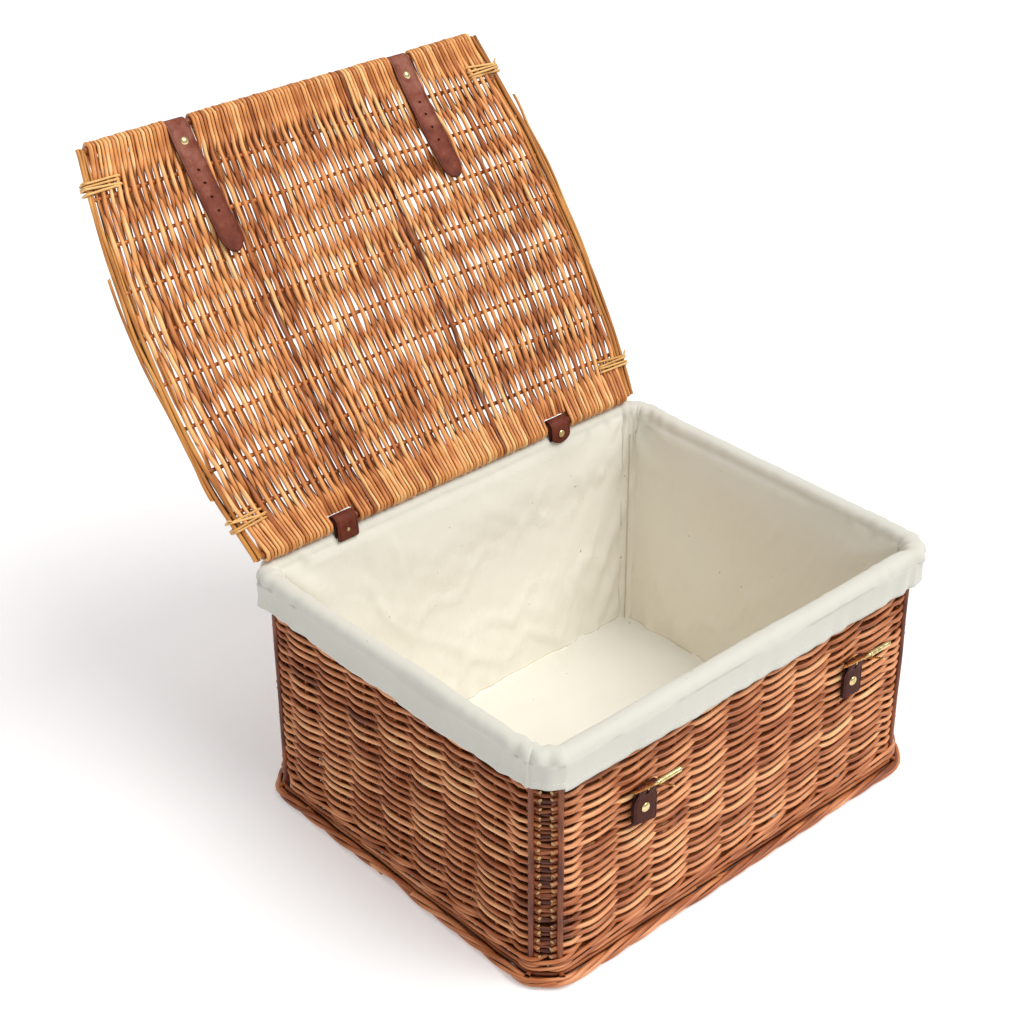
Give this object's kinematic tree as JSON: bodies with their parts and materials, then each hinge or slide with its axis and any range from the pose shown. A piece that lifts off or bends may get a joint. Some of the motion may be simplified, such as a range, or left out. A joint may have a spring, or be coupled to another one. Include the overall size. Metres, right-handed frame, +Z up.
{
  "type": "wicker hamper basket",
  "caption": "Open rectangular willow hamper with cloth lining, hinged woven lid, leather straps and brass buckles.",
  "frame": {"origin": "middle of the base's underside, on the floor", "axes": "+Z up, +X along the long front wall, -Y towards the front where the buckles are; the lid's hinge is at +Y and the lid stands open at rest"},
  "size_m": [0.5545, 0.7029, 0.6332],
  "materials": {
    "wicker_wall": "buff willow, satin",
    "wicker_lid": "buff willow, satin",
    "wicker_rods": "peeled willow, satin",
    "calico": "unbleached cotton calico, matt",
    "leather_strap": "smooth brown leather",
    "leather_tab": "smooth dark brown leather",
    "brass": "polished, lightly worn"
  },
  "bodies": {
    "basket": {"base_weave": "wicker_wall", "base_sticks": "wicker_rods", "base_border": "wicker_wall", "bottom_wale": "wicker_wall", "wall_front": "wicker_wall", "wall_back": "wicker_wall", "wall_left": "wicker_wall", "wall_right": "wicker_wall", "corner_weave": "wicker_wall", "wall_stakes": "wicker_rods", "corner_posts": "wicker_rods", "rim_border": "wicker_wall", "liner_floor": "calico", "liner_front": "calico", "liner_back": "calico", "liner_right": "calico", "liner_left": "calico", "liner_cuff": "calico", "hinge_band_left": "leather_strap", "hinge_band_right": "leather_strap", "hinge_rivets": "brass", "buckle_tab_left": "leather_tab", "buckle_tab_right": "leather_tab", "tab_rivets": "brass"},
    "lid": {"lid_hinge_rod": "wicker_lid", "lid_front_rod": "wicker_lid", "lid_side_rods": "wicker_lid", "lid_sticks": "wicker_rods", "lid_weave": "wicker_lid", "lid_corner_lashings": "wicker_rods"},
    "strap_left_body": {"strap_left": "leather_strap", "strap_rivet_left": "brass"},
    "strap_right_body": {"strap_right": "leather_strap", "strap_rivet_right": "brass"},
    "buckle_left": {"buckle_frame_left": "brass"},
    "prong_left": {"buckle_prong_left": "brass"},
    "roller_left": {"buckle_roller_left": "brass"},
    "buckle_right": {"buckle_frame_right": "brass"},
    "prong_right": {"buckle_prong_right": "brass"},
    "roller_right": {"buckle_roller_right": "brass"}
  },
  "joints": [
    {"name": "lid_hinge", "type": "hinge", "parent": "basket", "child": "lid", "pos_m": [0, 0.203, 0.279], "axis": [1, 0, 0], "range_deg": [0, 125]},
    {"name": "strap_left_swing", "type": "hinge", "parent": "lid", "child": "strap_left_body", "pos_m": [-0.149, 0.44505, 0.62468], "axis": [1, 0, 0], "range_deg": [-111, 1]},
    {"name": "strap_right_swing", "type": "hinge", "parent": "lid", "child": "strap_right_body", "pos_m": [0.133, 0.44505, 0.62468], "axis": [1, 0, 0], "range_deg": [-111, 1]},
    {"name": "buckle_left_fold", "type": "hinge", "parent": "basket", "child": "buckle_left", "pos_m": [-0.14, -0.2139, 0.181], "axis": [1, 0, 0], "range_deg": [-34, 50]},
    {"name": "prong_left_swing", "type": "hinge", "parent": "buckle_left", "child": "prong_left", "pos_m": [-0.14, -0.2139, 0.181], "axis": [1, 0, 0], "range_deg": [-10, 35]},
    {"name": "roller_left_spin", "type": "hinge", "parent": "buckle_left", "child": "roller_left", "pos_m": [-0.14, -0.24169, 0.20977], "axis": [1, 0, 0], "continuous": true},
    {"name": "buckle_right_fold", "type": "hinge", "parent": "basket", "child": "buckle_right", "pos_m": [0.148, -0.2139, 0.181], "axis": [1, 0, 0], "range_deg": [-34, 50]},
    {"name": "prong_right_swing", "type": "hinge", "parent": "buckle_right", "child": "prong_right", "pos_m": [0.148, -0.2139, 0.181], "axis": [1, 0, 0], "range_deg": [-10, 35]},
    {"name": "roller_right_spin", "type": "hinge", "parent": "buckle_right", "child": "roller_right", "pos_m": [0.148, -0.24169, 0.20977], "axis": [1, 0, 0], "continuous": true}
  ],
  "couplings": [
    {"joint": "strap_left_swing", "follows": "lid_hinge", "ratio": -0.88},
    {"joint": "strap_right_swing", "follows": "lid_hinge", "ratio": -0.88}
  ]
}
